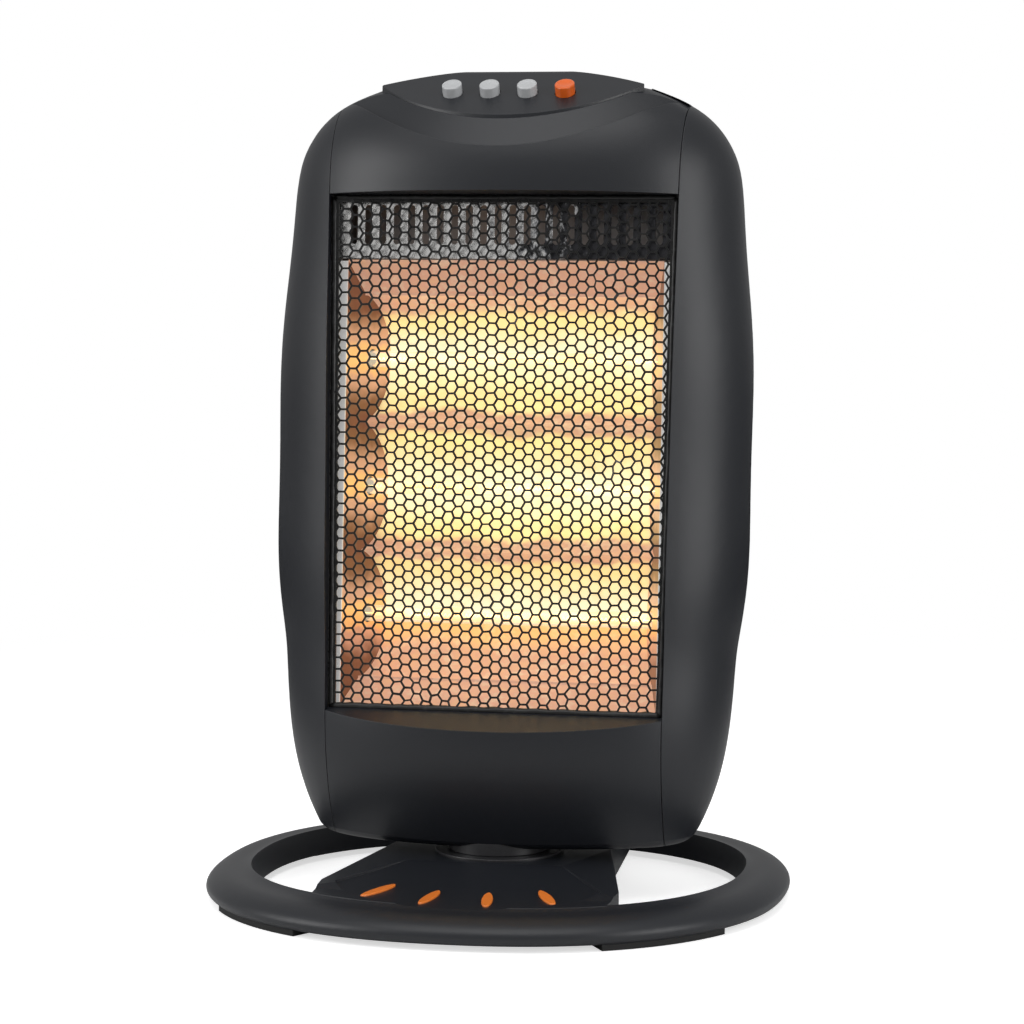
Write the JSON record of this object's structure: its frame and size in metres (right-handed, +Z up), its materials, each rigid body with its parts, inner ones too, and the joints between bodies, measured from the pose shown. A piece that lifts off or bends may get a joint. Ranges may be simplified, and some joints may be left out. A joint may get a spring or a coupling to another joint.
{
  "type": "halogen tube heater",
  "caption": "Upright radiant heater with quartz tubes behind a hexagonal wire guard, a leaning head that swings on an open oval ring base, and push buttons on its top.",
  "frame": {"origin": "centre of the base ring on the floor, on the swing axis of the head", "axes": "+Z up, -Y towards the front of the heater, +X to the right seen from the front"},
  "size_m": [0.3542, 0.3363, 0.5002],
  "materials": {
    "casing": "satin charcoal moulded plastic",
    "rubber": "matt black rubber",
    "orange_trim": "glossy orange plastic",
    "inner_plastic": "matt black plastic",
    "screw_steel": "dark zinc plated",
    "disc_plastic": "slippery black plastic",
    "steel_plain": "plain steel sheet",
    "motor_case": "bare metal case",
    "button_silver": "satin silver-grey plastic",
    "button_orange": "satin orange plastic",
    "grille_black": "black painted metal",
    "reflector_bright": "polished metal",
    "ceramic": "off-white glazed ceramic",
    "quartz": "clear quartz glass",
    "filament_wire": "glowing heating wire",
    "wire_cover": "pale sleeved wire"
  },
  "bodies": {
    "base": {"base_moulding": "casing", "foot_pads": "rubber", "deck_inserts": "orange_trim", "bottom_cover": "inner_plastic", "cover_screws": "screw_steel", "swivel_disc": "disc_plastic", "neck_post": "steel_plain", "post_retainer": "steel_plain", "drive_arm": "steel_plain", "cord_gland": "rubber", "tip_switch_housing": "inner_plastic"},
    "head": {"neck_collar": "disc_plastic", "floor_plate": "steel_plain", "motor_bracket": "steel_plain", "swing_motor": "motor_case", "side_shell_left": "casing", "side_shell_right": "casing", "top_panel": "casing", "bottom_panel": "casing", "rear_cover": "casing", "rear_cover_screws": "screw_steel", "control_panel": "casing", "switch_bank": "inner_plastic", "grille": "grille_black", "grille_frame": "grille_black", "reflector": "reflector_bright", "reflector_end_left": "reflector_bright", "reflector_end_right": "reflector_bright", "slotted_strip": "reflector_bright", "heat_shield": "steel_plain", "lamp_bracket_left": "steel_plain", "lamp_bracket_right": "steel_plain", "tube_caps_left": "ceramic", "tube_caps_right": "ceramic", "quartz_tube_bottom": "quartz", "filament_bottom": "filament_wire", "quartz_tube_middle": "quartz", "filament_middle": "filament_wire", "quartz_tube_top": "quartz", "filament_top": "filament_wire", "terminal_block": "ceramic", "thermal_cutout": "ceramic", "lamp_wires": "wire_cover"},
    "crank": {"drive_crank": "disc_plastic"},
    "heat_button_1": {"button_1": "button_silver"},
    "heat_button_2": {"button_2": "button_silver"},
    "heat_button_3": {"button_3": "button_silver"},
    "swing_button": {"button_4": "button_orange"},
    "tip_plunger": {"tip_switch_plunger": "inner_plastic"}
  },
  "joints": [
    {"name": "head_swing", "type": "hinge", "parent": "base", "child": "head", "pos_m": [0, 0, 0.03], "axis": [0, 0, 1], "range_deg": [-35, 35]},
    {"name": "crank_turn", "type": "hinge", "parent": "head", "child": "crank", "pos_m": [0, 0.026, 0.048], "axis": [0, 0, 1], "range_deg": [-90, 90]},
    {"name": "heat_button_1_press", "type": "slide", "parent": "head", "child": "heat_button_1", "axis": [0, 0.4311, -0.9023], "range_m": [0, 0.003], "stiffness_N_per_m": 300, "springref_m": -0.002},
    {"name": "heat_button_2_press", "type": "slide", "parent": "head", "child": "heat_button_2", "axis": [0, 0.4311, -0.9023], "range_m": [0, 0.003], "stiffness_N_per_m": 300, "springref_m": -0.002},
    {"name": "heat_button_3_press", "type": "slide", "parent": "head", "child": "heat_button_3", "axis": [0, 0.4311, -0.9023], "range_m": [0, 0.003], "stiffness_N_per_m": 300, "springref_m": -0.002},
    {"name": "swing_button_press", "type": "slide", "parent": "head", "child": "swing_button", "axis": [0, 0.4311, -0.9023], "range_m": [0, 0.003], "stiffness_N_per_m": 300, "springref_m": -0.002},
    {"name": "tip_plunger_slide", "type": "slide", "parent": "base", "child": "tip_plunger", "axis": [0, 0, -1], "range_m": [0, 0.004]}
  ],
  "couplings": [
    {"joint": "crank_turn", "follows": "head_swing", "ratio": -2.5714}
  ]
}
